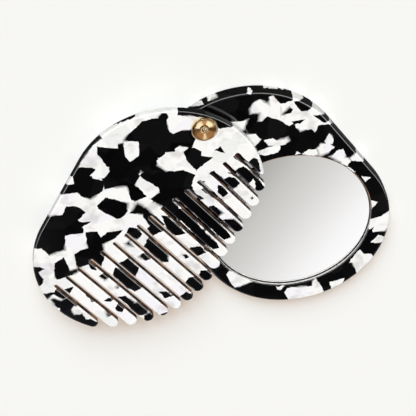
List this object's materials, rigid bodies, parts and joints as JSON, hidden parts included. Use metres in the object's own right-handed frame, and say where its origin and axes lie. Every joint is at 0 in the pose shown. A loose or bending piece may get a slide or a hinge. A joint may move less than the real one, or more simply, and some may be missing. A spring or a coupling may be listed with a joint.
{
  "type": "pocket mirror with comb",
  "caption": "Folding pocket mirror whose acetate plate carries a round glass mirror and whose matching comb plate swings out on a brass rivet.",
  "frame": {"origin": "middle of the mirror, on the flat back of the mirror plate", "axes": "+Z out of the mirror's face along the rivet's axis, +Y from the mirror's middle towards the rivet end, so that the two plates hang to each side of -Y, and +X to the side of the mirror plate"},
  "size_m": [0.1172, 0.0867, 0.0093],
  "materials": {
    "shell_acetate": "polished cellulose acetate with black and white shards",
    "mirror": "silvered glass with a ground edge",
    "tape": "double-sided mounting tape",
    "brass": "turned and polished",
    "nylon": "natural nylon"
  },
  "bodies": {
    "mirror_half": {"mirror_plate": "shell_acetate", "mirror_tape": "tape", "mirror_glass": "mirror", "rivet_post": "brass", "rivet_cap": "brass", "spacer_washer": "nylon", "cap_washer": "nylon"},
    "comb_half": {"comb_plate": "shell_acetate"}
  },
  "joints": [
    {"name": "comb_swing", "type": "hinge", "parent": "mirror_half", "child": "comb_half", "pos_m": [-0.02567, 0.04482, 0.00565], "axis": [0, 0, 1], "continuous": true}
  ]
}
